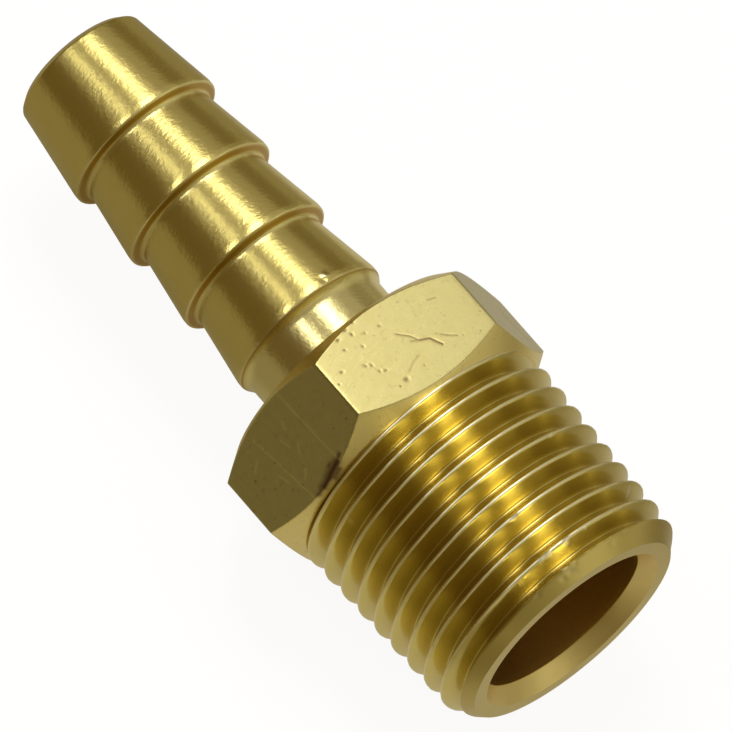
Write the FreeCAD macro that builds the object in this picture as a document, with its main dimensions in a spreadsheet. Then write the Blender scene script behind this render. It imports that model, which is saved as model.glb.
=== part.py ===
import FreeCAD, Part
import os
import Sketcher

# A hose barb to pipe thread connector, turned from one hexagonal brass bar.
# The turning axis runs along X. The pipe thread ends on the -X side and the hose tip on the +X side.
# The connector lies on one flat of its hexagon, so that flat is at height zero and +Z is up.
# Every place along the axis is measured from the face at the threaded end.

doc = FreeCAD.newDocument("hose_barb_connector")
sheet = doc.addObject("Spreadsheet::Sheet", "Sizes")

# Driving sizes in millimetres and degrees: alias, value, what it is.
SIZES = [
    ("thread_pitch", "1.814", "14 threads to the inch"),
    ("thread_small_radius", "10.35", "crest radius of the tapered thread, carried on to the end face"),
    ("thread_taper", "1.79", "half angle of the taper, 1 in 16 on the diameter"),
    ("thread_depth", "1.45", "depth of a groove below the crests"),
    ("thread_slope", "30", "angle of a groove's side from the radius"),
    ("thread_first_root", "1.77", "from the end face to the first root, on the upper side"),
    ("thread_run_in", "0.85", "how far the middle of the last groove goes past the hexagon's face"),
    ("thread_lead_in", "2", "turns of the groove that lie outside the end face"),
    ("thread_cut_reach", "0.15", "how far the groove's cutting outline stands above the crests"),
    ("end_chamfer_height", "1.29", "how far the end face's rim lies below the thread's crests"),
    ("end_chamfer_angle", "45", "angle of the outer chamfer at the threaded end"),
    ("hex_across_flats", "22.225", "a 7/8 inch hexagon"),
    ("hex_start", "17.20", "from the end face to the hexagon"),
    ("hex_length", "8.10", "length of the hexagon with its chamfers"),
    ("hex_chamfer_angle", "36", "angle of the hexagon's chamfers from its end faces"),
    ("hex_shoulder_inset", "0.45", "from a flat down to where the hexagon's chamfers begin"),
    ("hex_cut_reach", "1.00", "how far the chamfers' cutting outline stands outside the corners"),
    ("neck_radius", "5.98", "radius of the neck between hexagon and barbs"),
    ("neck_length", "4.05", "length of the plain neck, before it swells into the first barb"),
    ("barb_start", "29.75", "from the end face to the foot of the first barb"),
    ("barb_pitch", "6.32", "distance from barb to barb"),
    ("barb_count", "3", "equal barbs, before the longer one at the tip"),
    ("barb_ridge_radius", "6.44", "radius of a barb's ridge"),
    ("barb_root_radius", "5.56", "radius at the foot of a barb's back"),
    ("barb_back", "0.27", "length of a barb's steep back"),
    ("barb_land", "0.47", "width of the narrow land on a barb's ridge"),
    ("tip_length", "8.30", "from the last barb's foot to the end of the hose tip"),
    ("tip_radius", "5.43", "radius of the hose tip behind its lead-in"),
    ("tip_chamfer", "0.45", "length of the lead-in chamfer"),
    ("tip_face_radius", "4.84", "outer radius of the ring at the hose tip"),
    ("end_face_width", "1.15", "width of the flat ring at the threaded end"),
    ("pipe_bore_chamfer", "0.93", "width of the chamfer at the mouth of the wide drilling"),
    ("pipe_bore_chamfer_depth", "1.20", "depth of that chamfer"),
    ("pipe_bore_depth", "16.50", "full diameter depth of the wide drilling"),
    ("drill_point_angle", "59", "half angle of the drill's point"),
    ("hose_bore_radius", "4.25", "radius of the drilling through the hose tip"),
]
FIRST_ROW = 1
for row, (alias, value, meaning) in enumerate(SIZES, start=FIRST_ROW):
    sheet.set(f"A{row}", meaning)
    sheet.set(f"B{row}", value)
    sheet.setAlias(f"B{row}", alias)

# Places and radii that follow from the driving sizes, each worked out once in the sheet.
DERIVED = [
    ("end_face_radius", "=thread_small_radius - end_chamfer_height"),
    ("pipe_bore_mouth_radius", "=end_face_radius - end_face_width"),
    ("pipe_bore_radius", "=pipe_bore_mouth_radius - pipe_bore_chamfer"),
    ("hex_end", "=hex_start + hex_length"),
    ("hex_shoulder_radius", "=hex_across_flats / 2 - hex_shoulder_inset"),
    ("hex_corner_radius", "=hex_across_flats / 2 / cos(30deg)"),
    ("hex_cut_radius", "=hex_corner_radius + hex_cut_reach"),
    ("hex_cut_length", "=(hex_cut_radius - hex_shoulder_radius) * tan(hex_chamfer_angle * 1deg)"),
    ("blank_end", "=hex_start + hex_length / 2"),
    ("blank_end_radius", "=thread_small_radius + blank_end * tan(thread_taper * 1deg)"),
    ("groove_start", "=thread_first_root - thread_lead_in * thread_pitch"),
    ("groove_start_radius", "=thread_small_radius + groove_start * tan(thread_taper * 1deg)"),
    ("groove_half_width", "=(thread_depth + thread_cut_reach) * tan(thread_slope * 1deg)"),
    ("end_chamfer_length", "=(thread_small_radius - end_face_radius) / (tan(end_chamfer_angle * 1deg)"
     " - tan(thread_taper * 1deg))"),
    ("end_chamfer_radius", "=end_face_radius + end_chamfer_length * tan(end_chamfer_angle * 1deg)"),
    ("last_barb_start", "=barb_start + barb_count * barb_pitch"),
    ("overall_length", "=last_barb_start + tip_length"),
    ("drill_point_length", "=(pipe_bore_radius - hose_bore_radius) / tan(drill_point_angle * 1deg)"),
]
for row, (alias, formula) in enumerate(DERIVED, start=FIRST_ROW + len(SIZES)):
    sheet.set(f"A{row}", alias.replace("_", " "))
    sheet.set(f"B{row}", formula)
    sheet.setAlias(f"B{row}", alias)
doc.recompute()


def size(name):
    """The present value of one named size, for a sketch's first guess only."""
    return float(sheet.get(name))


body = doc.addObject("PartDesign::Body", "ConnectorBody")
body.Label = "connector_body"


def origin_part(role):
    """One of the body's own origin planes or axes."""
    return next(item for item in body.Origin.OriginFeatures if item.Role == role)


def new_sketch(name, plane_role):
    """An empty sketch on one of the body's origin planes."""
    sketch = body.newObject("Sketcher::SketchObject", name)
    sketch.AttachmentSupport = [(origin_part(plane_role), "")]
    sketch.MapMode = "FlatFace"
    return sketch


def guess(sketch, formula):
    """The number that a formula gives now, so that lines start where they belong."""
    value = sketch.evalExpression(formula)
    return float(getattr(value, "Value", value))


def add_outline(sketch, corners):
    """A closed outline through corners given as (along the axis, from the axis) formulas.

    Each corner is held by two dimensions bound to the sheet, or by the axis itself where it lies on it.
    """
    points = [FreeCAD.Vector(guess(sketch, x), guess(sketch, y), 0) for x, y in corners]
    first = sketch.GeometryCount
    for index, point in enumerate(points):
        following = points[(index + 1) % len(points)]
        sketch.addGeometry(Part.LineSegment(point, following), False)
    count = len(points)
    for index in range(count):
        line = first + index
        sketch.addConstraint(Sketcher.Constraint("Coincident", line, 2, first + (index + 1) % count, 1))
    for index, (x, y) in enumerate(corners):
        line = first + index
        for kind, formula, axis in (("DistanceX", x, -2), ("DistanceY", y, -1)):
            if formula == "0":
                sketch.addConstraint(Sketcher.Constraint("PointOnObject", line, 1, axis))
                continue
            start = guess(sketch, formula)
            number = sketch.addConstraint(Sketcher.Constraint(kind, -1, 1, line, 1, start))
            sketch.setExpression(f"Constraints[{number}]", formula)
    return first


def turned(kind, name, sketch):
    """A full turn of a sketch about the turning axis, as a Revolution or a Groove."""
    feature = body.newObject(f"PartDesign::{kind}", name)
    feature.Profile = sketch
    feature.ReferenceAxis = (sketch, ["H_Axis"])
    feature.Angle = 360
    sketch.Visibility = False
    doc.recompute()
    return feature


LEAST_CUT = 0.01


def removed_something(feature, volume_before):
    """A cut that points the wrong way removes nothing and shows no error, so its volume is compared."""
    if feature.Shape.Volume >= volume_before - LEAST_CUT:
        raise RuntimeError(f"{feature.Name} removed nothing")


# The tapered blank of the pipe thread, at the height of its crests, chamfered down to its end face.
# It runs on into the hexagon, so that the crests meet the hexagon's chamfer.
blank_sketch = new_sketch("ThreadBlankOutline", "XZ_Plane")
add_outline(
    blank_sketch,
    [
        ("0", "0"),
        ("0", "Sizes.end_face_radius"),
        ("Sizes.end_chamfer_length", "Sizes.end_chamfer_radius"),
        ("Sizes.blank_end", "Sizes.blank_end_radius"),
        ("Sizes.blank_end", "0"),
    ],
)
turned("Revolution", "ThreadBlank", blank_sketch)

# The right-hand pipe thread: a 60 degree groove carried along the taper, from outside the end face
# to inside the hexagon, whose face closes it. Its outline stands a little above the crests, so that
# it cuts clean.
GROOVE_TOP = "Sizes.groove_start_radius + Sizes.thread_cut_reach"
thread_sketch = new_sketch("ThreadGrooveOutline", "XZ_Plane")
add_outline(
    thread_sketch,
    [
        ("Sizes.groove_start", "Sizes.groove_start_radius - Sizes.thread_depth"),
        ("Sizes.groove_start + Sizes.groove_half_width", GROOVE_TOP),
        ("Sizes.groove_start - Sizes.groove_half_width", GROOVE_TOP),
    ],
)
thread = body.newObject("PartDesign::SubtractiveHelix", "PipeThread")
thread.Profile = thread_sketch
thread.ReferenceAxis = (thread_sketch, ["H_Axis"])
thread.Mode = 0
thread.setExpression("Pitch", "Sizes.thread_pitch")
thread.setExpression("Height", "Sizes.hex_start + Sizes.thread_run_in - Sizes.groove_start")
thread.setExpression("Angle", "Sizes.thread_taper")
thread.LeftHanded = False
thread.Reversed = False
thread_sketch.Visibility = False
before = body.Shape.Volume
doc.recompute()
removed_something(thread, before)

# The hexagon: the bar that the connector is turned from, with a flat on top and one below.
hex_sketch = new_sketch("HexOutline", "YZ_Plane")
hex_sketch.setExpression(".AttachmentOffset.Base.z", "Sizes.hex_start")
HALF_FLATS = "Sizes.hex_across_flats / 2"
CORNER = "Sizes.hex_corner_radius"
add_outline(
    hex_sketch,
    [
        (CORNER, "0"),
        (f"{CORNER} / 2", HALF_FLATS),
        (f"-{CORNER} / 2", HALF_FLATS),
        (f"-{CORNER}", "0"),
        (f"-{CORNER} / 2", f"-{HALF_FLATS}"),
        (f"{CORNER} / 2", f"-{HALF_FLATS}"),
    ],
)
hex_bar = body.newObject("PartDesign::Pad", "HexBar")
hex_bar.Profile = hex_sketch
hex_bar.setExpression("Length", "Sizes.hex_length")
doc.recompute()

# Chamfers on both ends of the hexagon, which give each flat its two bowed edges.
for end_name, end_place, sign in (("Pipe", "Sizes.hex_start", "+"), ("Hose", "Sizes.hex_end", "-")):
    chamfer_sketch = new_sketch(f"HexChamfer{end_name}Outline", "XZ_Plane")
    add_outline(
        chamfer_sketch,
        [
            (end_place, "Sizes.hex_shoulder_radius"),
            (end_place, "Sizes.hex_cut_radius"),
            (f"{end_place} {sign} Sizes.hex_cut_length", "Sizes.hex_cut_radius"),
        ],
    )
    before = body.Shape.Volume
    chamfer = turned("Groove", f"HexChamfer{end_name}", chamfer_sketch)
    removed_something(chamfer, before)

# The core of the hose stem: a plain neck that swells into the first barb's ridge, then the root
# diameter that the barbs stand on.
BARB_TOP = "Sizes.barb_start + Sizes.barb_back"
stem_sketch = new_sketch("HoseStemOutline", "XZ_Plane")
add_outline(
    stem_sketch,
    [
        ("Sizes.hex_end", "0"),
        ("Sizes.hex_end", "Sizes.neck_radius"),
        ("Sizes.hex_end + Sizes.neck_length", "Sizes.neck_radius"),
        (BARB_TOP, "Sizes.barb_ridge_radius"),
        (BARB_TOP, "Sizes.barb_root_radius"),
        ("Sizes.last_barb_start", "Sizes.barb_root_radius"),
        ("Sizes.last_barb_start", "0"),
    ],
)
turned("Revolution", "HoseStem", stem_sketch)

# One barb: a steep back toward the hexagon, a narrow land, and a long cone toward the hose tip.
barb_sketch = new_sketch("BarbOutline", "XZ_Plane")
add_outline(
    barb_sketch,
    [
        ("Sizes.barb_start", "0"),
        ("Sizes.barb_start", "Sizes.barb_root_radius"),
        (BARB_TOP, "Sizes.barb_ridge_radius"),
        (f"{BARB_TOP} + Sizes.barb_land", "Sizes.barb_ridge_radius"),
        ("Sizes.barb_start + Sizes.barb_pitch", "Sizes.barb_root_radius"),
        ("Sizes.barb_start + Sizes.barb_pitch", "0"),
    ],
)
first_barb = turned("Revolution", "FirstBarb", barb_sketch)

# Equal barbs stand in a row. The last one, at the tip, has a longer cone of its own.
barb_row = body.newObject("PartDesign::LinearPattern", "BarbRow")
barb_row.Originals = [first_barb]
barb_row.Direction = (origin_part("X_Axis"), [""])
barb_row.setExpression("Length", "(Sizes.barb_count - 1) * Sizes.barb_pitch")
barb_row.setExpression("Occurrences", "Sizes.barb_count")
body.Tip = barb_row
doc.recompute()

# The tip barb, whose cone runs on to the lead-in chamfer of the hose tip.
TIP_TOP = "Sizes.last_barb_start + Sizes.barb_back"
tip_sketch = new_sketch("TipBarbOutline", "XZ_Plane")
add_outline(
    tip_sketch,
    [
        ("Sizes.last_barb_start", "0"),
        ("Sizes.last_barb_start", "Sizes.barb_root_radius"),
        (TIP_TOP, "Sizes.barb_ridge_radius"),
        (f"{TIP_TOP} + Sizes.barb_land", "Sizes.barb_ridge_radius"),
        ("Sizes.overall_length - Sizes.tip_chamfer", "Sizes.tip_radius"),
        ("Sizes.overall_length", "Sizes.tip_face_radius"),
        ("Sizes.overall_length", "0"),
    ],
)
turned("Revolution", "TipBarb", tip_sketch)

# The passage: a wide drilling from the threaded end with a chamfered mouth, then a narrow one to the tip.
bore_sketch = new_sketch("PassageOutline", "XZ_Plane")
add_outline(
    bore_sketch,
    [
        ("0", "0"),
        ("0", "Sizes.pipe_bore_mouth_radius"),
        ("Sizes.pipe_bore_chamfer_depth", "Sizes.pipe_bore_radius"),
        ("Sizes.pipe_bore_depth", "Sizes.pipe_bore_radius"),
        ("Sizes.pipe_bore_depth + Sizes.drill_point_length", "Sizes.hose_bore_radius"),
        ("Sizes.overall_length", "Sizes.hose_bore_radius"),
        ("Sizes.overall_length", "0"),
    ],
)
before = body.Shape.Volume
passage = turned("Groove", "Passage", bore_sketch)
removed_something(passage, before)

# The part's origin is in the middle of its length, below the axis, on the plane that it lies on.
body.setExpression(".Placement.Base.x", "-Sizes.overall_length / 2")
body.setExpression(".Placement.Base.z", "Sizes.hex_across_flats / 2")
doc.recompute()

# Nothing is written unless every object has computed and the body is one valid solid.
for item in doc.Objects:
    if {"Invalid", "Error"} & set(item.State):
        raise RuntimeError(f"{item.Name} did not compute: {item.State}")
if body.Shape.isNull() or not body.Shape.isValid() or len(body.Shape.Solids) != 1:
    raise RuntimeError("the connector is not one valid solid")
if size("hose_bore_radius") >= size("tip_face_radius"):
    raise RuntimeError("the hose tip has no wall left")

os.makedirs("parts", exist_ok=True)
body.Shape.exportStep(f"parts/{body.Label}.step")
solid = body.Shape.Solids[0]
box = solid.optimalBoundingBox()
print(f"{body.Label}: {solid.Volume:.1f} mm3, {len(solid.Faces)} faces")
print(f"box {box.XLength:.2f} x {box.YLength:.2f} x {box.ZLength:.2f} mm, lowest point {box.ZMin:.3f}")
print(f"centre of mass at x {solid.CenterOfMass.x:.2f}, height {solid.CenterOfMass.z:.2f}")
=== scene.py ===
import math

import bmesh
import bpy
import numpy as np
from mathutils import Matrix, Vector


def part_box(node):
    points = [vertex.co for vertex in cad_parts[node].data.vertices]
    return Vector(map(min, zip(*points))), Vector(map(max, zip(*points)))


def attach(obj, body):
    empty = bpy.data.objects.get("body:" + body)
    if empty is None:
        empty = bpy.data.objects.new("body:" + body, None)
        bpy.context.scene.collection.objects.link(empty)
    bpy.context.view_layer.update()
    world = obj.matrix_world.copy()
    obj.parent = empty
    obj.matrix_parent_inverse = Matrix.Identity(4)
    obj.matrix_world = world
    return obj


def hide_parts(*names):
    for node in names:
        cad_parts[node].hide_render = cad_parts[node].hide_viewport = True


# A hose barb to pipe thread connector, turned from one hexagonal brass bar. The thread, the hexagon,
# the hose stem and the passage below are the surfaces of that one piece. Lengths are in millimetres
# along the turning axis from the face at the threaded end, and angles go from straight up towards +Y.
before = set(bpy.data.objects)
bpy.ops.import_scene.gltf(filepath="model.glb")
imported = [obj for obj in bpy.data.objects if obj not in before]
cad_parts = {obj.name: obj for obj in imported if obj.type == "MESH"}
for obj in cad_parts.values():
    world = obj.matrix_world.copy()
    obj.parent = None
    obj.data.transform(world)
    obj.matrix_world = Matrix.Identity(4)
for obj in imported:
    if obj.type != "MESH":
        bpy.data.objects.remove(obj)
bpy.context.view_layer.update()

# Pipe thread: the tapered male thread that screws into a port. A die cuts it on the end of the bar,
# whose rim is chamfered first, and leaves torn crests, bright flanks and a groove that starts shallow
# in the rim and runs on until the hexagon's face closes it.
MM = 0.001
WELD_DISTANCE = 0.0005
BODY_LOW, BODY_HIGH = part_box("connector_body")
PITCH = 1.814
TAPER = math.tan(math.radians(1.79))
CREST_AT_FACE = 10.35
GROOVE_DEPTH = 1.45
FLANK_RISE = math.tan(math.radians(60))
FIRST_GROOVE = 1.77
FIRST_BITE = 0.55
BITE_LENGTH = 3.3
ROOT_FLOOR = 0.12
ROOT_ROUND = 0.05
CREST_ROUND = 0.035
RIM_RADIUS = 9.06
RIM_SLOPE = math.tan(math.radians(45))
MOUTH_RADIUS = 7.91
FACE_RINGS = [MOUTH_RADIUS, 7.96, 8.20, 8.45, 8.70, 9.00]
HEX_START = 17.20
THREAD_COVERED = 0.45
TURN_COLUMNS = 360
ROWS_PER_PITCH = 20
ROW_CROWDING = 0.55
MEETING_SCAN = 300
RIM_ROUND = 0.16
CREST_TEAR = 0.022
TORN_ABOVE = 0.75
CHATTER_LOBES = (3, 60)
CHATTER_SPIRAL = (1, 9)
# How bright the crests are painted: rubbing leaves them pale all round, and a painted highlight makes
# them paler still round an angle in degrees, on the side towards the light. Then how dark painted shade
# makes the groove, and how much darker the rim's chamfer and the end face are painted.
LIT_SIDE = 12
LIT_SIDE_WIDTH = 34
CREST_RUB = 0.45
LIT_SIDE_HIGHLIGHT = 0.5
CREST_TOP = 0.94
CREST_EDGE = 18
SHADE_BELOW = 0.85
SHADE_FADE = 1.6
GROOVE_SHADE = 0.36
CHAMFER_DARKENING = 0.60
END_FACE_DARKENING = 0.45
RIM_BRIGHT = 0.10
NICK_STRETCH = 0.6
NICK_POLISHED = 0.04
NICK_ON_RIM = 0.35
NICK_ON_CREST = 0.85
# Burrs and dents on the crests: along, angle in degrees, size, height above (+) or below (-) the crest.
CREST_NICKS = [
    (2.52, 2.0, 0.16, 0.12),
    (2.50, 11.6, 0.15, 0.11),
    (2.46, 15.0, 0.12, 0.09),
    (2.55, -8.0, 0.10, 0.05),
    (0.70, 8.2, 0.20, -0.08),
    (0.85, 5.0, 0.12, -0.06),
    (0.60, 12.5, 0.13, -0.07),
    (1.00, 10.5, 0.14, 0.07),
    (0.45, 6.0, 0.10, -0.05),
    (1.05, 6.5, 0.10, 0.06),
    (0.80, 25.5, 0.14, -0.06),
    (1.10, 28.0, 0.10, 0.05),
    (1.05, -23.0, 0.13, -0.06),
    (0.75, -15.0, 0.12, -0.05),
    (6.20, 12.1, 0.14, -0.06),
    (10.02, -24.7, 0.13, -0.05),
    (4.30, -52.0, 0.15, -0.05),
    (13.60, 70.0, 0.14, -0.05),
    (8.10, 150.0, 0.16, -0.06),
    (11.70, -130.0, 0.15, -0.06),
]


def turned_points(along, radius, angle):
    """Places in metres for distances along and from the turning axis, in mm, and angles in radians."""
    x = BODY_LOW.x + along * MM
    y = radius * np.sin(angle) * MM
    z = BODY_HIGH.z / 2 + radius * np.cos(angle) * MM
    return np.stack(np.broadcast_arrays(x, y, z), axis=-1)


def smooth_step(value):
    """Eases from 0 to 1 while the value goes from 0 to 1, and stays there beyond."""
    value = np.clip(value, 0, 1)
    return value * value * (3 - 2 * value)


def soft_least(first, second, round_off):
    """The lesser of two radii, with the edge between them rounded off."""
    return (first + second - np.hypot(first - second, round_off)) / 2


def tool_chatter(angle, along, seed, waves):
    """Small irregularity from -1 to 1 that closes on itself round the axis."""
    draw = np.random.default_rng(seed)
    total = np.zeros(np.broadcast(angle, along).shape)
    for _ in range(waves):
        lobes = draw.integers(*CHATTER_LOBES)
        spiral = draw.uniform(*CHATTER_SPIRAL)
        total = total + np.sin(lobes * angle + spiral * along + draw.uniform(0, 2 * math.pi))
    return total / waves


def skin(name, points, bright, hollow, plain_rows=0, turn_back=0):
    """A mesh through rows of points that close round the axis. Past the plain rows, with turn_back, a
    row's last column joins the first column of the row that lies so many rows before, as on a screw.
    Bright is how pale each point is painted, for rubbing and for painted highlights, and hollow how dark,
    for grime in marks, for painted shade in grooves and for faces painted darker."""
    rows, columns = points.shape[:2]
    number = np.arange(rows * columns).reshape(rows, columns)
    following = np.roll(number, -1, axis=1)
    if turn_back:
        row = np.arange(rows)
        joined = np.where(row < plain_rows, row, np.maximum(row - turn_back, plain_rows))
        following[:, -1] = number[joined, 0]
    quads = np.stack([number[:-1], following[:-1], following[1:], number[1:]], axis=-1).reshape(-1, 4)
    mesh = bpy.data.meshes.new(name)
    mesh.from_pydata(points.reshape(-1, 3).tolist(), [], quads.tolist())
    for mask, values in (("bright", bright), ("hollow", hollow)):
        layer = mesh.attributes.new(mask, "FLOAT", "POINT")
        spread = np.broadcast_to(values, (rows, columns)).ravel()
        layer.data.foreach_set("value", spread.astype(np.float32))
    shape = bmesh.new()
    shape.from_mesh(mesh)
    bmesh.ops.remove_doubles(shape, verts=shape.verts, dist=WELD_DISTANCE * MM)
    bmesh.ops.recalc_face_normals(shape, faces=shape.faces)
    shape.to_mesh(mesh)
    shape.free()
    piece = bpy.data.objects.new(name, mesh)
    bpy.context.scene.collection.objects.link(piece)
    return piece


def finish_piece(piece, material, crease=32):
    """Smooth shading with crisp edges, the piece's brass, and its place on the connector."""
    piece.data.shade_smooth()
    piece.data.set_sharp_from_angle(angle=math.radians(crease))
    piece.data.materials.append(material)
    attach(piece, "root")
    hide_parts("connector_body")


def thread_radius(along, angle):
    """Radius of the cut thread: the tapered crests, less the groove that winds round them."""
    turn = angle / (2 * math.pi)
    groove = np.round((along - FIRST_GROOVE) / PITCH + turn)
    groove_centre = FIRST_GROOVE + (groove - turn) * PITCH
    flank = np.abs(along - groove_centre) * FLANK_RISE
    flank = (flank + ROOT_FLOOR + np.hypot(flank - ROOT_FLOOR, ROOT_ROUND)) / 2
    depth = GROOVE_DEPTH * smooth_step(FIRST_BITE + groove_centre / BITE_LENGTH)
    height = flank + GROOVE_DEPTH - depth
    height = (height + GROOVE_DEPTH - np.hypot(height - GROOVE_DEPTH, CREST_ROUND)) / 2
    radius = CREST_AT_FACE + along * TAPER - GROOVE_DEPTH + height
    torn_share = smooth_step((height / GROOVE_DEPTH - TORN_ABOVE) / (1 - TORN_ABOVE))
    tear = CREST_TEAR * tool_chatter(angle, along / PITCH, seed=4, waves=9)
    return radius + tear * torn_share


def nicks(places, along, angle, reach):
    """How far burrs stand out and dents go in. Reach is the radius over which an angle is measured."""
    total = np.zeros(np.broadcast(along, angle).shape)
    for place, degrees, size, rise in places:
        around = (angle - math.radians(degrees) + math.pi) % (2 * math.pi) - math.pi
        distance = np.hypot(along - place, around * reach)
        total = total + rise * np.exp(-((distance / size) ** 2))
    return total


turn_angles = 2 * math.pi * np.arange(TURN_COLUMNS) / TURN_COLUMNS
thread_end = HEX_START + THREAD_COVERED
steps = np.arange(-2 * ROWS_PER_PITCH, math.ceil(thread_end / PITCH + 2) * ROWS_PER_PITCH)
shares = steps / ROWS_PER_PITCH
# Rows crowd at the crests and the roots, where the shape bends.
shares = shares - ROW_CROWDING * np.sin(4 * math.pi * shares) / (4 * math.pi)
along = FIRST_GROOVE + PITCH * (shares[:, None] - turn_angles[None, :] / (2 * math.pi))
along = np.clip(along, 0, thread_end)
# Where the rim's chamfer meets the thread, the nearest point of each column moves onto the edge.
rim_end = (CREST_AT_FACE - RIM_RADIUS) / (RIM_SLOPE - TAPER)
scan = np.linspace(0, rim_end + PITCH / 4, MEETING_SCAN)
for column, angle in enumerate(turn_angles):
    gap = thread_radius(scan, angle) - (RIM_RADIUS + scan * RIM_SLOPE)
    for hit in np.nonzero(gap[:-1] * gap[1:] < 0)[0]:
        meeting = scan[hit] + (scan[hit + 1] - scan[hit]) * gap[hit] / (gap[hit] - gap[hit + 1])
        reach = np.where(along[:, column] > 0, np.abs(along[:, column] - meeting), PITCH)
        along[np.argmin(reach), column] = meeting
cut_radius = thread_radius(along, turn_angles)
rim_radius = RIM_RADIUS + along * RIM_SLOPE
radius = soft_least(cut_radius, rim_radius, RIM_ROUND)
on_rim = rim_radius < cut_radius
crest_share = (radius - CREST_AT_FACE - along * TAPER + GROOVE_DEPTH) / GROOVE_DEPTH
nick_height = nicks(CREST_NICKS, along, turn_angles, CREST_AT_FACE * NICK_STRETCH)
radius = radius + nick_height
# The crests carry a painted highlight, strongest on the side towards the light, over the rubbing that
# they have all round.
from_lit_side = (turn_angles - math.radians(LIT_SIDE) + math.pi) % (2 * math.pi) - math.pi
crest_rub_and_highlight = CREST_RUB + LIT_SIDE_HIGHLIGHT * np.exp(-((from_lit_side / math.radians(LIT_SIDE_WIDTH)) ** 2))
rubbed_and_highlit_crest = smooth_step((crest_share - CREST_TOP) * CREST_EDGE) * crest_rub_and_highlight
nick_bright = np.where(on_rim, NICK_ON_RIM, NICK_ON_CREST)
polished_nick = smooth_step(np.abs(nick_height) / NICK_POLISHED) * nick_bright
bright = np.maximum(np.where(on_rim, RIM_BRIGHT, rubbed_and_highlit_crest), polished_nick)
# Painted shade darkens the groove, and the rim's chamfer and the end face are painted darker.
groove_shade = smooth_step((SHADE_BELOW - crest_share) * SHADE_FADE) * GROOVE_SHADE
hollow = np.where(on_rim, CHAMFER_DARKENING, groove_shade)
ring_rows = [turned_points(0, ring + 0 * turn_angles, turn_angles) for ring in FACE_RINGS]
thread_points = np.concatenate([np.stack(ring_rows), turned_points(along, radius, turn_angles)])
blank = np.zeros((len(FACE_RINGS), TURN_COLUMNS))
pipe_thread = skin(
    "pipe_thread",
    thread_points,
    np.concatenate([blank + RIM_BRIGHT, bright]),
    np.concatenate([blank + END_FACE_DARKENING, hollow]),
    plain_rows=len(FACE_RINGS),
    turn_back=ROWS_PER_PITCH,
)


def new_node(tree, kind, **settings):
    """One shader node with its settings."""
    made = tree.nodes.new(kind)
    for setting, value in settings.items():
        setattr(made, setting, value)
    return made


def feed(tree, socket, value):
    """Links another node's output to a socket, or sets the socket's own value."""
    if isinstance(value, bpy.types.NodeSocket):
        tree.links.new(value, socket)
    else:
        socket.default_value = value


def calculate(tree, operation, *values):
    """One Math node, whose inputs are numbers or other nodes' outputs."""
    made = new_node(tree, "ShaderNodeMath", operation=operation)
    for socket, value in zip(made.inputs, values):
        feed(tree, socket, value)
    return made.outputs[0]


def blend_colours(tree, share, first, second):
    """One Mix node for colours, whose inputs are colours or other nodes' outputs."""
    made = new_node(tree, "ShaderNodeMix", data_type="RGBA")
    for number, value in ((0, share), (6, first), (7, second)):
        feed(tree, made.inputs[number], value)
    return made.outputs[2]


def new_group(name, inputs, outputs):
    """An empty node group with named inputs (socket type and first value) and outputs."""
    group = bpy.data.node_groups.new(name, "ShaderNodeTree")
    for label, (kind, value) in inputs.items():
        socket = group.interface.new_socket(label, in_out="INPUT", socket_type=kind)
        socket.default_value = value
    for label, kind in outputs.items():
        group.interface.new_socket(label, in_out="OUTPUT", socket_type=kind)
    return group, new_node(group, "NodeGroupInput").outputs, new_node(group, "NodeGroupOutput").inputs


def place_group(tree, group, **values):
    """A group's node in a material, with the material's own values for its inputs."""
    made = new_node(tree, "ShaderNodeGroup", node_tree=group)
    for label, value in values.items():
        made.inputs[label.replace("_", " ").capitalize()].default_value = value
    return made.outputs


def noise(tree, vector, scale, detail, roughness=0.5):
    """One Noise node's value at a place, from 0 to 1."""
    made = new_node(tree, "ShaderNodeTexNoise")
    feed(tree, made.inputs["Vector"], vector)
    feed(tree, made.inputs["Scale"], scale)
    feed(tree, made.inputs["Detail"], detail)
    feed(tree, made.inputs["Roughness"], roughness)
    return made.outputs["Fac"]


def lifted(tree, mask, level, gain):
    """What a mask has above a level, strengthened and kept from 0 to 1."""
    raised = calculate(tree, "MULTIPLY", calculate(tree, "SUBTRACT", mask, level), gain)
    return calculate(tree, "MINIMUM", calculate(tree, "MAXIMUM", raised, 0.0), 1.0)


# How far the rings shift for each millimetre of radius, so that end faces show them too.
FACE_SHIFT = 0.8


def tool_marks_group():
    """Fine rings that the turning tool leaves round the axis, with breaks along them."""
    group, given, result = new_group(
        "tool_marks",
        {"Marks per mm": ("NodeSocketFloat", 5.0), "Breaks": ("NodeSocketFloat", 2.0)},
        {"Height": "NodeSocketFloat"},
    )
    place = new_node(group, "ShaderNodeTexCoord").outputs["Object"]
    parts = new_node(group, "ShaderNodeSeparateXYZ")
    group.links.new(place, parts.inputs[0])
    along = calculate(group, "MULTIPLY", parts.outputs["X"], 1 / MM)
    side = calculate(group, "MULTIPLY", parts.outputs["Y"], 1 / MM)
    height = calculate(group, "MULTIPLY", parts.outputs["Z"], 1 / MM)
    height = calculate(group, "SUBTRACT", height, BODY_HIGH.z / 2 / MM)
    side_square = calculate(group, "MULTIPLY", side, side)
    height_square = calculate(group, "MULTIPLY", height, height)
    radius = calculate(group, "SQRT", calculate(group, "ADD", side_square, height_square))
    travel = calculate(group, "ADD", along, calculate(group, "MULTIPLY", radius, FACE_SHIFT))
    lined = new_node(group, "ShaderNodeCombineXYZ")
    feed(group, lined.inputs["X"], calculate(group, "MULTIPLY", travel, given["Marks per mm"]))
    for socket, distance in (("Y", side), ("Z", height)):
        turned = calculate(group, "DIVIDE", distance, radius)
        feed(group, lined.inputs[socket], calculate(group, "MULTIPLY", turned, given["Breaks"]))
    rings = noise(group, lined.outputs[0], scale=1.0, detail=3.0, roughness=0.6)
    feed(group, result["Height"], rings)
    return group


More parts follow.
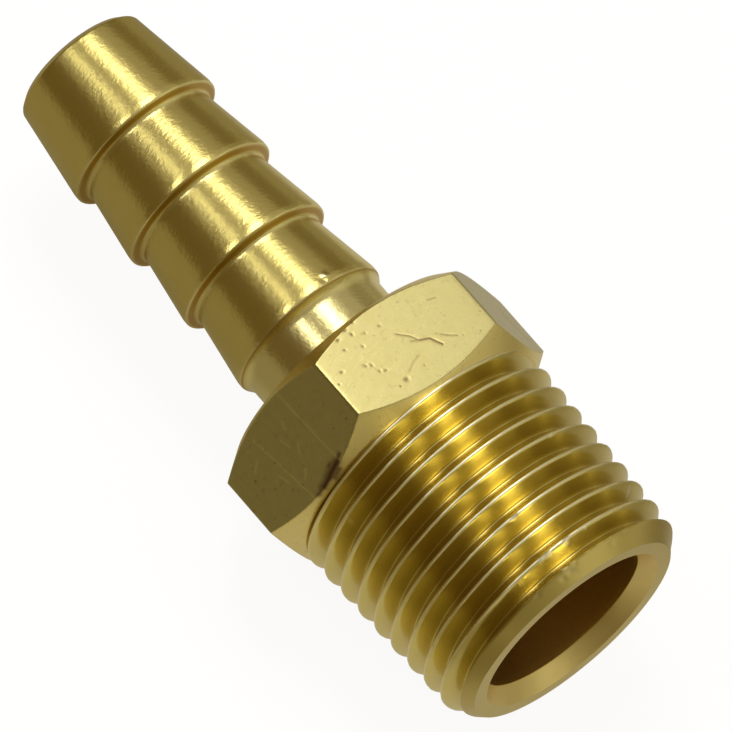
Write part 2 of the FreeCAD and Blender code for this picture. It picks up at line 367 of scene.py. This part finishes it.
# The level above which noise shows as film or as specks, and how sharply.
FILM_LEVEL, FILM_GAIN = 0.35, 2.2
SPECK_LEVEL, SPECK_GAIN = 0.64, 14.0
GRAIN_MEAN, GRAIN_ROUGHNESS = 0.5, 0.08
HOLLOW_ROUGHNESS = 0.2


def brass_tone_group():
    """Brass colour and roughness: fresh metal, a duller film in patches, a pale colour for worn edges and
    for painted highlights, and a dark colour for grime in marks and for painted shade in grooves and
    hollows."""
    colour, value = "NodeSocketColor", "NodeSocketFloat"
    group, given, result = new_group(
        "brass_tone",
        {
            "Fresh": (colour, (0.82, 0.69, 0.23, 1)),
            "Dull": (colour, (0.60, 0.49, 0.17, 1)),
            "Rubbed": (colour, (0.90, 0.80, 0.38, 1)),
            "Dirt": (colour, (0.12, 0.07, 0.035, 1)),
            "Patch size": (value, 0.6),
            "Dullness": (value, 0.5),
            "Polish": (value, 0.25),
            "Spread": (value, 0.12),
            "Specks": (value, 0.0),
            "Tear": (value, 0.0),
        },
        {"Colour": colour, "Roughness": value},
    )
    place = new_node(group, "ShaderNodeTexCoord").outputs["Object"]
    scaled = new_node(group, "ShaderNodeVectorMath", operation="SCALE")
    group.links.new(place, scaled.inputs[0])
    scaled.inputs["Scale"].default_value = 1 / MM
    patches = noise(group, scaled.outputs[0], given["Patch size"], detail=5.0, roughness=0.65)
    grain = noise(group, scaled.outputs[0], scale=9.0, detail=2.0)
    dots = noise(group, scaled.outputs[0], scale=2.4, detail=1.0)
    specks = calculate(group, "MULTIPLY", lifted(group, dots, SPECK_LEVEL, SPECK_GAIN), given["Specks"])
    film = calculate(group, "MULTIPLY", lifted(group, patches, FILM_LEVEL, FILM_GAIN), given["Dullness"])
    bright = new_node(group, "ShaderNodeAttribute", attribute_name="bright").outputs["Fac"]
    hollow = new_node(group, "ShaderNodeAttribute", attribute_name="hollow").outputs["Fac"]
    tone = blend_colours(group, film, given["Fresh"], given["Dull"])
    # Pale for rubbing and for painted highlights, dark for grime and for painted shade.
    tone = blend_colours(group, bright, tone, given["Rubbed"])
    tone = blend_colours(group, calculate(group, "MAXIMUM", hollow, specks), tone, given["Dirt"])
    feed(group, result["Colour"], tone)
    rough = given["Polish"]
    for mask, strength in (
        (film, given["Spread"]),
        (calculate(group, "SUBTRACT", grain, GRAIN_MEAN), GRAIN_ROUGHNESS),
        (hollow, HOLLOW_ROUGHNESS),
        (bright, given["Tear"]),
    ):
        rough = calculate(group, "ADD", rough, calculate(group, "MULTIPLY", mask, strength))
    feed(group, result["Roughness"], rough)
    return group


TOOL_MARKS = tool_marks_group()
BRASS_TONE = brass_tone_group()


def brass_finish(name, marks, tone, mark_height):
    """One machined finish: the shared groups with this finish's values, on a metal surface."""
    material = bpy.data.materials.new(name)
    material.use_nodes = True
    tree = material.node_tree
    surface = tree.nodes["Principled BSDF"]
    surface.inputs["Metallic"].default_value = 1.0
    tones = place_group(tree, BRASS_TONE, **tone)
    lines = place_group(tree, TOOL_MARKS, **marks)
    tree.links.new(tones["Colour"], surface.inputs["Base Color"])
    tree.links.new(tones["Roughness"], surface.inputs["Roughness"])
    relief = new_node(tree, "ShaderNodeBump")
    relief.inputs["Strength"].default_value = 1.0
    relief.inputs["Distance"].default_value = mark_height * MM
    tree.links.new(lines["Height"], relief.inputs["Height"])
    tree.links.new(relief.outputs["Normal"], surface.inputs["Normal"])
    return material


# The thread's pale colour paints the crests' highlight on top of their rubbing, and its dark colour
# paints shade in the groove.
threaded_brass = brass_finish(
    "threaded_brass",
    marks={"marks_per_mm": 2.5, "breaks": 1.0},
    tone={
        "rubbed": (1.0, 0.96, 0.74, 1),
        "dirt": (0.46, 0.33, 0.06, 1),
        "patch_size": 0.3,
        "dullness": 0.25,
        "polish": 0.15,
        "tear": 0.20,
    },
    mark_height=0.003,
)
finish_piece(pipe_thread, threaded_brass)

# Wrench hexagon: what is left of the drawn bar between thread and hose stem. Its flats keep the bar's
# matte skin with drawing lines, pits and knocks, and both ends are chamfered on the lathe.
HEX_END = 25.30
HALF_FLATS = BODY_HIGH.z / 2 / MM
HALF_SIDE = HALF_FLATS * math.tan(math.radians(30))
SHOULDER_STEP = 0.45
SHOULDER_RADIUS = HALF_FLATS - SHOULDER_STEP
CHAMFER_RISE = 1 / math.tan(math.radians(36))
UNDER_THREAD = 9.0
UNDER_NECK = 5.2
FLAT_COLUMNS = [220, 140, 80, 80, 80, 80]
FLAT_ROWS = 112
FLAT_CROWDING = 0.4
CHAMFER_ROWS = 8
CHAMFER_CROWDING = 0.6
CORNER_ROUND = 0.004
EDGE_ROUND = 0.04
# Pits: flat (0 on top, then round towards +Y), along, across, radius, depth.
PITS = [
    (0, 21.46, 6.00, 0.16, 0.05),
    (0, 23.37, 3.92, 0.17, 0.06),
    (0, 23.61, 1.87, 0.15, 0.05),
    (0, 21.30, 3.11, 0.16, 0.06),
    (0, 20.59, 2.95, 0.15, 0.05),
    (0, 18.96, 1.77, 0.21, 0.07),
    (0, 20.40, 2.54, 0.17, 0.05),
    (0, 21.47, 3.50, 0.15, 0.05),
    (0, 18.77, 2.48, 0.14, 0.04),
    (0, 19.09, -0.01, 0.13, 0.04),
    (0, 22.87, 2.66, 0.16, 0.05),
    (0, 24.08, 2.69, 0.19, 0.06),
    (0, 22.11, 5.23, 0.17, 0.06),
    (0, 24.63, 2.89, 0.20, 0.07),
    (0, 24.84, 2.07, 0.20, 0.07),
    (0, 24.29, 3.82, 0.20, 0.07),
]
# Scratches: flat, the points that the scratch runs through (along, across), half width, depth, darkness.
SCRATCHES = [
    (0, [(22.25, 0.10), (21.54, -0.62), (20.87, -1.00)], 0.06, 0.012, 0.6),
    (0, [(20.87, -1.00), (20.58, -1.69), (19.66, -2.15)], 0.08, 0.014, 0.8),
    (0, [(21.14, -0.48), (20.90, -0.99)], 0.07, 0.010, 0.5),
    (0, [(20.37, -2.55), (19.85, -3.14), (19.60, -3.50)], 0.06, 0.008, 0.5),
    (0, [(19.93, -0.23), (19.74, 0.49), (19.34, 1.18)], 0.07, 0.005, 0.3),
    (0, [(23.06, -3.54), (22.91, -4.17)], 0.06, 0.008, 0.4),
    (3, [(23.90, -1.30), (21.60, 1.90)], 0.14, 0.02, 0.4),
    (4, [(18.60, 3.20), (22.20, 2.60)], 0.13, 0.02, 0.4),
    (5, [(19.00, -3.00), (20.40, -2.00), (22.10, -1.90)], 0.14, 0.02, 0.4),
]
# The knock on the flat beside the top one, at the thread's side, is several strokes over each other.
SCRATCHES += [
    (1, [(18.16, -2.85), (17.98, -2.00)], 0.18, 0.06, 0.8),
    (1, [(17.98, -2.20), (17.84, -1.20), (17.72, -0.70)], 0.32, 0.14, 1.0),
    (1, [(17.76, -0.90), (17.62, 0.20)], 0.26, 0.12, 1.0),
    (1, [(17.64, 0.10), (17.55, 0.95)], 0.16, 0.05, 0.7),
    (1, [(17.58, -1.85), (17.48, -0.95)], 0.26, 0.11, 0.8),
    (1, [(18.30, -1.70), (18.24, -1.35)], 0.14, 0.05, 0.7),
]
# Light lines that a wrench has rubbed on the same flat: along and across, from and to.
RUBBED_LINES = [
    ((24.61, -2.17), (17.89, -2.46)),
    ((24.11, 2.13), (17.21, 1.32)),
    ((23.20, -0.90), (22.60, -0.60)),
    ((22.40, 0.30), (21.50, 0.10)),
    ((21.20, -0.70), (20.60, -0.20)),
    ((20.90, 2.50), (19.90, 2.20)),
    ((19.60, 0.20), (19.10, 0.90)),
    ((22.90, 3.10), (22.50, 3.90)),
]
RUBBED_WIDTH = 0.07
RUBBED_BRIGHT = 0.5
# Fine pits are scattered over every flat, at least a margin away from its ends.
PIT_SEED = 60
FINE_PITS = 14
PIT_MARGIN = 1
FINE_RADIUS = (0.08, 0.15)
FINE_DEPTH = (0.01, 0.03)
PIT_SHRINK = (0.4, 0.85)
PIT_SHARE = 0.3
PIT_SHADE = 0.62
CHAMFER_BRIGHT = 0.9
EDGE_BRIGHT = 0.4
EDGE_WIDTH = 0.06


def from_line(along, across, start, end):
    """Distance of points on a flat from the straight stretch between two others."""
    run = np.subtract(end, start)
    share = ((along - start[0]) * run[0] + (across - start[1]) * run[1]) / (run @ run)
    share = np.clip(share, 0, 1)
    return np.hypot(along - start[0] - share * run[0], across - start[1] - share * run[1])


def flat_marks(flat, along, across):
    """How far the pits and scratches of one flat lie below it, and how dark they are."""
    draw = np.random.default_rng(PIT_SEED + flat)
    depth = np.zeros_like(along)
    shade = np.zeros_like(along)
    pits = [pit[1:] for pit in PITS if pit[0] == flat]
    for _ in range(FINE_PITS):
        place = draw.uniform(HEX_START + PIT_MARGIN, HEX_END - PIT_MARGIN)
        aside = draw.uniform(-HALF_SIDE, HALF_SIDE)
        pits.append((place, aside, draw.uniform(*FINE_RADIUS), draw.uniform(*FINE_DEPTH)))
    for place, aside, size, sunk in pits:
        length = size * draw.uniform(*PIT_SHRINK)
        width = size * draw.uniform(*PIT_SHRINK)
        share = np.exp(-(((along - place) / length) ** 2) - ((across - aside) / width) ** 2)
        depth = np.maximum(depth, sunk * PIT_SHARE * share)
        shade = np.maximum(shade, PIT_SHADE * share)
    for number, path, half_width, sunk, darkness in SCRATCHES:
        if number == flat:
            for start, end in zip(path[:-1], path[1:]):
                share = np.exp(-((from_line(along, across, start, end) / half_width) ** 2))
                depth = np.maximum(depth, sunk * share)
                shade = np.maximum(shade, darkness * share)
    return depth, shade


column_shares = np.concatenate([np.linspace(-1, 1, count, endpoint=False) for count in FLAT_COLUMNS])
across = HALF_SIDE * (column_shares + FLAT_CROWDING * np.sin(math.pi * column_shares) / math.pi)
flat_number = np.repeat(np.arange(len(FLAT_COLUMNS)), FLAT_COLUMNS)
from_normal = np.arctan2(across, HALF_FLATS)
hex_angles = flat_number * math.pi / 3 + from_normal
next_flat = np.cos(math.pi / 3 - np.abs(from_normal))
hex_radius = HALF_FLATS / -soft_least(-np.cos(from_normal), -next_flat, CORNER_ROUND)
edge_start = HEX_START + (hex_radius - SHOULDER_RADIUS) / CHAMFER_RISE
edge_end = HEX_END - (hex_radius - SHOULDER_RADIUS) / CHAMFER_RISE
flat_shares = np.linspace(0, 1, FLAT_ROWS)
flat_shares = flat_shares - FLAT_CROWDING * np.sin(2 * math.pi * flat_shares) / (2 * math.pi)
chamfer_shares = np.linspace(0, 1, CHAMFER_ROWS, endpoint=False) ** CHAMFER_CROWDING
along = np.concatenate(
    [
        HEX_START + chamfer_shares[:, None] * (edge_start - HEX_START),
        edge_start + flat_shares[:, None] * (edge_end - edge_start),
        HEX_END - chamfer_shares[::-1, None] * (HEX_END - edge_end),
    ]
)
cone = SHOULDER_RADIUS + np.minimum(along - HEX_START, HEX_END - along) * CHAMFER_RISE
radius = soft_least(np.broadcast_to(hex_radius, along.shape), cone, EDGE_ROUND)
depth = np.zeros_like(along)
hex_hollow = np.zeros_like(along)
for flat in range(len(FLAT_COLUMNS)):
    own = flat_number == flat
    own_across = np.broadcast_to(across[own], along[:, own].shape)
    depth[:, own], hex_hollow[:, own] = flat_marks(flat, along[:, own], own_across)
radius = radius - depth / np.cos(from_normal)
edge_bright = np.exp(-(((hex_radius - cone) / EDGE_WIDTH) ** 2)) * EDGE_BRIGHT
hex_bright = np.where(cone < hex_radius, CHAMFER_BRIGHT, edge_bright)
beside_top = flat_number == 1
for start, end in RUBBED_LINES:
    away = from_line(along[:, beside_top], across[beside_top], start, end) / RUBBED_WIDTH
    line_bright = RUBBED_BRIGHT * np.exp(-(away**2))
    hex_bright[:, beside_top] = np.maximum(hex_bright[:, beside_top], line_bright)
under_thread = turned_points(HEX_START, UNDER_THREAD + 0 * hex_angles, hex_angles)
under_neck = turned_points(HEX_END, UNDER_NECK + 0 * hex_angles, hex_angles)
hex_points = np.concatenate(
    [under_thread[None], turned_points(along, radius, hex_angles), under_neck[None]]
)
blank = np.zeros((1, len(hex_angles)))
wrench_hexagon = skin(
    "wrench_hexagon",
    hex_points,
    np.concatenate([blank, hex_bright, blank]),
    np.concatenate([blank, hex_hollow, blank]),
)
bar_brass = brass_finish(
    "bar_brass",
    marks={"marks_per_mm": 4.0, "breaks": 9.0},
    tone={
        "fresh": (0.57, 0.505, 0.212, 1),
        "dull": (0.465, 0.40, 0.133, 1),
        "rubbed": (0.93, 0.77, 0.29, 1),
        "dirt": (0.15, 0.075, 0.04, 1),
        "patch_size": 1.6,
        "dullness": 0.4,
        "polish": 0.28,
        "specks": 0.13,
    },
    mark_height=0.006,
)
finish_piece(wrench_hexagon, bar_brass, crease=25)

# Hose stem: a plain neck, then four barbs that let a pushed-on hose slide over and hold it back. It is
# turned in one pass with a pointed tool, which leaves a satin surface, and its thin ridges carry painted
# highlights.
STEM_COLUMNS = 300
STEM_STEP = 0.22
TIP = (BODY_HIGH.x - BODY_LOW.x) / MM
NECK_RADIUS = 5.98
NECK_END = 29.35
BARBS = 4
BARB_START = 29.75
BARB_PITCH = 6.32
RIDGE_RADIUS = 6.44
ROOT_RADIUS = 5.56
BACK_LENGTH = 0.27
LAND_LENGTH = 0.47
TIP_RADIUS = 5.43
TIP_CHAMFER = 0.45
TIP_FACE_RADIUS = 4.84
TIP_BORE = 4.25
NECK_FILLET = 0.3
FILLET_TOP = (0.02, 0.22)
FILLET_ROUND = 0.05
FOOT_ROUND = 0.32
RIDGE_ROUND = 0.12
LAND_ROUND = 0.10
TIP_ROUND = 0.06
ARC_POINTS = 5
ROUND_SHARE = 0.45
CHATTER_HEIGHT = 0.006
# Painted highlights: how bright the ridges, the metal before each barb and the neck are painted. Then how
# bright the tip's chamfer is, and how dark painted shade makes the back of each barb.
RIDGE_HIGHLIGHT, RIDGE_WIDTH = 0.9, 0.10
FOOT_HIGHLIGHT, FOOT_WIDTH = 0.7, 0.30
NECK_HIGHLIGHT = 0.7
TIP_BRIGHT = 0.5
BACK_SHADE, BACK_EDGE = 0.8, 12
STEM_NICK_POLISHED = 0.06
# Burrs and dents on the first barb, as on the thread's crests.
STEM_NICKS = [
    (30.60, -7.6, 0.27, 0.10),
    (30.36, -5.2, 0.22, -0.07),
]


def rounded_outline(corners, step):
    """An outline along the axis: (along, radius, corner round) with each corner rounded off by an arc
    between the two straight stretches, and the stretches divided into short steps."""
    outline = []
    for index, (along, radius, corner_round) in enumerate(corners):
        here = np.array([along, radius])
        if index in (0, len(corners) - 1) or not corner_round:
            outline.append(here)
            continue
        before = np.array(corners[index - 1][:2]) - here
        after = np.array(corners[index + 1][:2]) - here
        before_unit, after_unit = before / np.hypot(*before), after / np.hypot(*after)
        reach = min(corner_round, np.hypot(*before) * ROUND_SHARE, np.hypot(*after) * ROUND_SHARE)
        for share in np.linspace(0, 1, ARC_POINTS):
            bend = here + before_unit * reach * (1 - share) ** 2 + after_unit * reach * share**2
            outline.append(bend)
    divided = [outline[0]]
    for start, end in zip(outline[:-1], outline[1:]):
        count = max(1, math.ceil(np.hypot(*(end - start)) / step))
        divided += [start + (end - start) * part / count for part in range(1, count + 1)]
    return np.array(divided)


stem_corners = [
    (HEX_END, NECK_RADIUS + NECK_FILLET, 0),
    (HEX_END + FILLET_TOP[0], NECK_RADIUS + FILLET_TOP[1], FILLET_ROUND),
    (HEX_END + NECK_FILLET, NECK_RADIUS, NECK_FILLET),
    (NECK_END, NECK_RADIUS, NECK_FILLET),
]
for barb in range(BARBS):
    foot = BARB_START + barb * BARB_PITCH
    top = foot + BACK_LENGTH
    if barb:
        stem_corners.append((foot, ROOT_RADIUS, FOOT_ROUND))
    stem_corners += [(top, RIDGE_RADIUS, RIDGE_ROUND), (top + LAND_LENGTH, RIDGE_RADIUS, LAND_ROUND)]
stem_corners += [
    (TIP - TIP_CHAMFER, TIP_RADIUS, LAND_ROUND),
    (TIP, TIP_FACE_RADIUS, TIP_ROUND),
    (TIP, TIP_BORE, 0),
]
outline = rounded_outline(stem_corners, STEM_STEP)
stem_angles = 2 * math.pi * np.arange(STEM_COLUMNS) / STEM_COLUMNS
along = outline[:, 0][:, None] + 0 * stem_angles
radius = outline[:, 1][:, None] + CHATTER_HEIGHT * tool_chatter(stem_angles, along, seed=12, waves=12)
nick_height = nicks(STEM_NICKS, along, stem_angles, RIDGE_RADIUS)
radius = radius + nick_height
on_barbs = (along > BARB_START) & (along < BARB_START + BARBS * BARB_PITCH)
past_foot = np.where(on_barbs, (along - BARB_START) % BARB_PITCH, BARB_PITCH)
last_foot = BARB_START + (BARBS - 1) * BARB_PITCH
before_foot = np.where(along < last_foot, BARB_PITCH - past_foot, BARB_PITCH)
# Painted highlights along the ridges, before each barb and on the neck.
stem_bright = RIDGE_HIGHLIGHT * np.exp(-(((past_foot - BACK_LENGTH) / RIDGE_WIDTH) ** 2))
stem_bright = np.maximum(stem_bright, TIP_BRIGHT * (along > TIP - TIP_CHAMFER))
stem_bright = np.maximum(stem_bright, FOOT_HIGHLIGHT * np.exp(-((before_foot / FOOT_WIDTH) ** 2)))
stem_bright = np.where(along < NECK_END, NECK_HIGHLIGHT, stem_bright)
stem_bright = np.maximum(stem_bright, smooth_step(nick_height / STEM_NICK_POLISHED))
# Painted shade on the back of each barb.
back_shade = smooth_step(past_foot * BACK_EDGE) * smooth_step((BACK_LENGTH - past_foot) * BACK_EDGE)
stem_points = turned_points(along, radius, stem_angles)
hose_stem = skin("hose_stem", stem_points, stem_bright, BACK_SHADE * back_shade)
# The stem's pale colour paints its highlights, and its dark colour the shade on each barb's back.
turned_brass = brass_finish(
    "turned_brass",
    marks={"marks_per_mm": 5.0, "breaks": 14.0},
    tone={"dirt": (0.46, 0.26, 0.035, 1), "patch_size": 0.5, "dullness": 0.25, "polish": 0.22},
    mark_height=0.022,
)
finish_piece(hose_stem, turned_brass)

# Fuel passage: a wide drilling from the threaded end with a chamfered mouth, then the drill's point
# and a narrow drilling through the stem. The walls are as the drill left them.
PASSAGE_COLUMNS = 180
PASSAGE_STEP = 0.6
MOUTH_CHAMFER = 1.20
WIDE_RADIUS = 6.98
WIDE_DEPTH = 16.50
DRILL_POINT = math.tan(math.radians(59))
MOUTH_ROUND = 0.05
BOTTOM_ROUND = 0.2
POINT_ROUND = 0.1
MOUTH_BRIGHT = 0.4
narrow_start = WIDE_DEPTH + (WIDE_RADIUS - TIP_BORE) / DRILL_POINT
passage_corners = [
    (0, MOUTH_RADIUS, 0),
    (MOUTH_CHAMFER, WIDE_RADIUS, MOUTH_ROUND),
    (WIDE_DEPTH, WIDE_RADIUS, BOTTOM_ROUND),
    (narrow_start, TIP_BORE, POINT_ROUND),
    (TIP, TIP_BORE, 0),
]
passage_outline = rounded_outline(passage_corners, PASSAGE_STEP)
passage_angles = 2 * math.pi * np.arange(PASSAGE_COLUMNS) / PASSAGE_COLUMNS
along = passage_outline[:, 0][:, None] + 0 * passage_angles
radius = passage_outline[:, 1][:, None] + 0 * passage_angles
passage_points = turned_points(along, radius, passage_angles)
mouth_bright = MOUTH_BRIGHT * (along < MOUTH_CHAMFER)
fuel_passage = skin("fuel_passage", passage_points, mouth_bright, 0 * along)
fuel_passage.data.flip_normals()
drilled_brass = brass_finish(
    "drilled_brass",
    marks={"marks_per_mm": 5.0, "breaks": 2.0},
    tone={
        "fresh": (0.76, 0.54, 0.16, 1),
        "dull": (0.52, 0.32, 0.08, 1),
        "patch_size": 0.3,
        "dullness": 0.5,
        "polish": 0.34,
    },
    mark_height=0.012,
)
finish_piece(fuel_passage, drilled_brass)

# Floor and light: a pale table under soft overhead boxes, with a dim room round it, so that the brass
# shows a bright stripe along its top, a softer one beside it and dark bands between them.
FLOOR_HALF = 3.0
FLOOR_GLOW = 0.97
PALE = (0.94, 0.94, 0.94, 1)
FLOOR_SHADE = (0.18, 0.18, 0.18, 1)
# The table glows, and what the brass reflects of it is painted light: pale pools under the thread, beside
# the hexagon and far off past the threaded end, and dim elsewhere. The distances are in metres.
DIM_TABLE = (0.172, 0.140, 0.066, 1)
PALE_TABLE = (0.44, 0.405, 0.32, 1)
THREAD_PLACE = (-0.021, 0.000, 0.0)
HEXAGON_SIDE = (0.003, -0.022, 0.0)
PALE_WITHIN, DIM_BEYOND = 0.012, 0.034
PAST_END = (-0.82, -0.57, 0.0)
DIM_UNTIL, PALE_FROM = 0.045, 0.12


def pale_towards(tree, vector, measure, place, least, most):
    """A soft mask that grows from 0 to 1 as a vector's distance from a place, or its reach along a
    direction, goes from the first limit to the second."""
    measured = new_node(tree, "ShaderNodeVectorMath", operation=measure)
    feed(tree, measured.inputs[0], vector)
    feed(tree, measured.inputs[1], place)
    share = new_node(tree, "ShaderNodeMapRange", interpolation_type="SMOOTHSTEP")
    feed(tree, share.inputs["Value"], measured.outputs["Value"])
    feed(tree, share.inputs["From Min"], least)
    feed(tree, share.inputs["From Max"], most)
    return share.outputs["Result"]


floor_mesh = bpy.data.meshes.new("floor")
corners = [(x * FLOOR_HALF, y * FLOOR_HALF, 0) for x, y in ((-1, -1), (1, -1), (1, 1), (-1, 1))]
floor_mesh.from_pydata(corners, [], [(0, 1, 2, 3)])
floor = bpy.data.objects.new("floor", floor_mesh)
bpy.context.scene.collection.objects.link(floor)
floor_paint = bpy.data.materials.new("pale_floor")
floor_paint.use_nodes = True
tree = floor_paint.node_tree
paint = tree.nodes["Principled BSDF"]
paint.inputs["Base Color"].default_value = FLOOR_SHADE
paint.inputs["Roughness"].default_value = 0.9
paint.inputs["Specular IOR Level"].default_value = 0.0
paint.inputs["Emission Strength"].default_value = FLOOR_GLOW
ray = new_node(tree, "ShaderNodeLightPath").outputs["Is Camera Ray"]
table = new_node(tree, "ShaderNodeTexCoord").outputs["Object"]
by_thread = pale_towards(tree, table, "DISTANCE", THREAD_PLACE, DIM_BEYOND, PALE_WITHIN)
by_hexagon = pale_towards(tree, table, "DISTANCE", HEXAGON_SIDE, DIM_BEYOND, PALE_WITHIN)
past_end = pale_towards(tree, table, "DOT_PRODUCT", PAST_END, DIM_UNTIL, PALE_FROM)
pale_share = calculate(tree, "MAXIMUM", calculate(tree, "MAXIMUM", by_thread, by_hexagon), past_end)
# Painted pools of light on the table, seen only in reflections.
seen_in_brass = blend_colours(tree, pale_share, DIM_TABLE, PALE_TABLE)
feed(tree, paint.inputs["Emission Color"], blend_colours(tree, ray, seen_in_brass, PALE))
floor_mesh.materials.append(floor_paint)

# The room round the table is dim and brown, and paler on the side past the threaded end.
DIM_SIDE = (0.135, 0.095, 0.040, 1)
PALE_SIDE = (0.42, 0.395, 0.29, 1)
PALE_DIRECTION = (-0.72, -0.69, 0.05)
PALEST_AT = 0.95
room = bpy.data.worlds.new("room")
bpy.context.scene.world = room
room.use_nodes = True
tree = room.node_tree
light = tree.nodes["Background"]
ray = new_node(tree, "ShaderNodeLightPath").outputs["Is Camera Ray"]
direction = new_node(tree, "ShaderNodeTexCoord").outputs["Generated"]
pale_share = pale_towards(tree, direction, "DOT_PRODUCT", PALE_DIRECTION, 0.0, PALEST_AT)
around = blend_colours(tree, pale_share, DIM_SIDE, PALE_SIDE)
feed(tree, light.inputs["Color"], blend_colours(tree, ray, around, PALE))


def soft_box(name, place, width, length, watts, turn=0):
    """A rectangular soft box at a place in metres, facing down and turned by so many degrees."""
    lamp = bpy.data.lights.new(name, "AREA")
    lamp.shape = "RECTANGLE"
    lamp.size = width
    lamp.size_y = length
    lamp.energy = watts
    box = bpy.data.objects.new(name, lamp)
    bpy.context.scene.collection.objects.link(box)
    box.location = place
    box.rotation_euler.z = math.radians(turn)
    return box


# The bright stripe along the top comes from the overhead and far boxes, and the softer one from the
# side and near boxes. The flat card and the ceiling light the upper flat, the end card the end face.
soft_box("overhead_box", (0.17, -0.093, 0.45), width=0.27, length=0.15, watts=0.45, turn=-17)
soft_box("far_box", (0.37, -0.146, 0.46), width=0.16, length=0.10, watts=0.08, turn=-17)
soft_box("side_box", (0.25, 0.19, 0.45), width=0.46, length=0.09, watts=0.18, turn=-20)
soft_box("near_box", (0.150, 0.228, 0.448), width=0.11, length=0.07, watts=0.09, turn=-20)
soft_box("flat_card", (0.16, -0.22, 0.47), width=0.36, length=0.12, watts=0.025, turn=-17)
soft_box("ceiling", (0.30, -0.20, 0.50), width=1.40, length=1.25, watts=1.05)
end_card = soft_box("end_card", (-0.60, -0.31, 0.26), width=0.44, length=0.40, watts=0.17)
end_card.rotation_euler = (-end_card.location).to_track_quat("-Z", "Y").to_euler()

# Camera: stands where the photographer did, above the threaded end, with a long lens. The place is in
# metres and the turns are in degrees.
CAMERA_PLACE = (-0.3065546, 0.3891187, 0.8864453)
CAMERA_TURNS = (28.6529, -7.1868, -129.2644)
camera_data = bpy.data.cameras.new("camera")
camera_data.lens = 685.36
camera_data.sensor_width = 36.0
camera_data.clip_start = 0.05
camera_data.clip_end = 20.0
camera = bpy.data.objects.new("camera", camera_data)
bpy.context.scene.collection.objects.link(camera)
camera.location = CAMERA_PLACE
camera.rotation_euler = [math.radians(turn) for turn in CAMERA_TURNS]
bpy.context.scene.camera = camera
bpy.context.scene.view_settings.view_transform = "Standard"
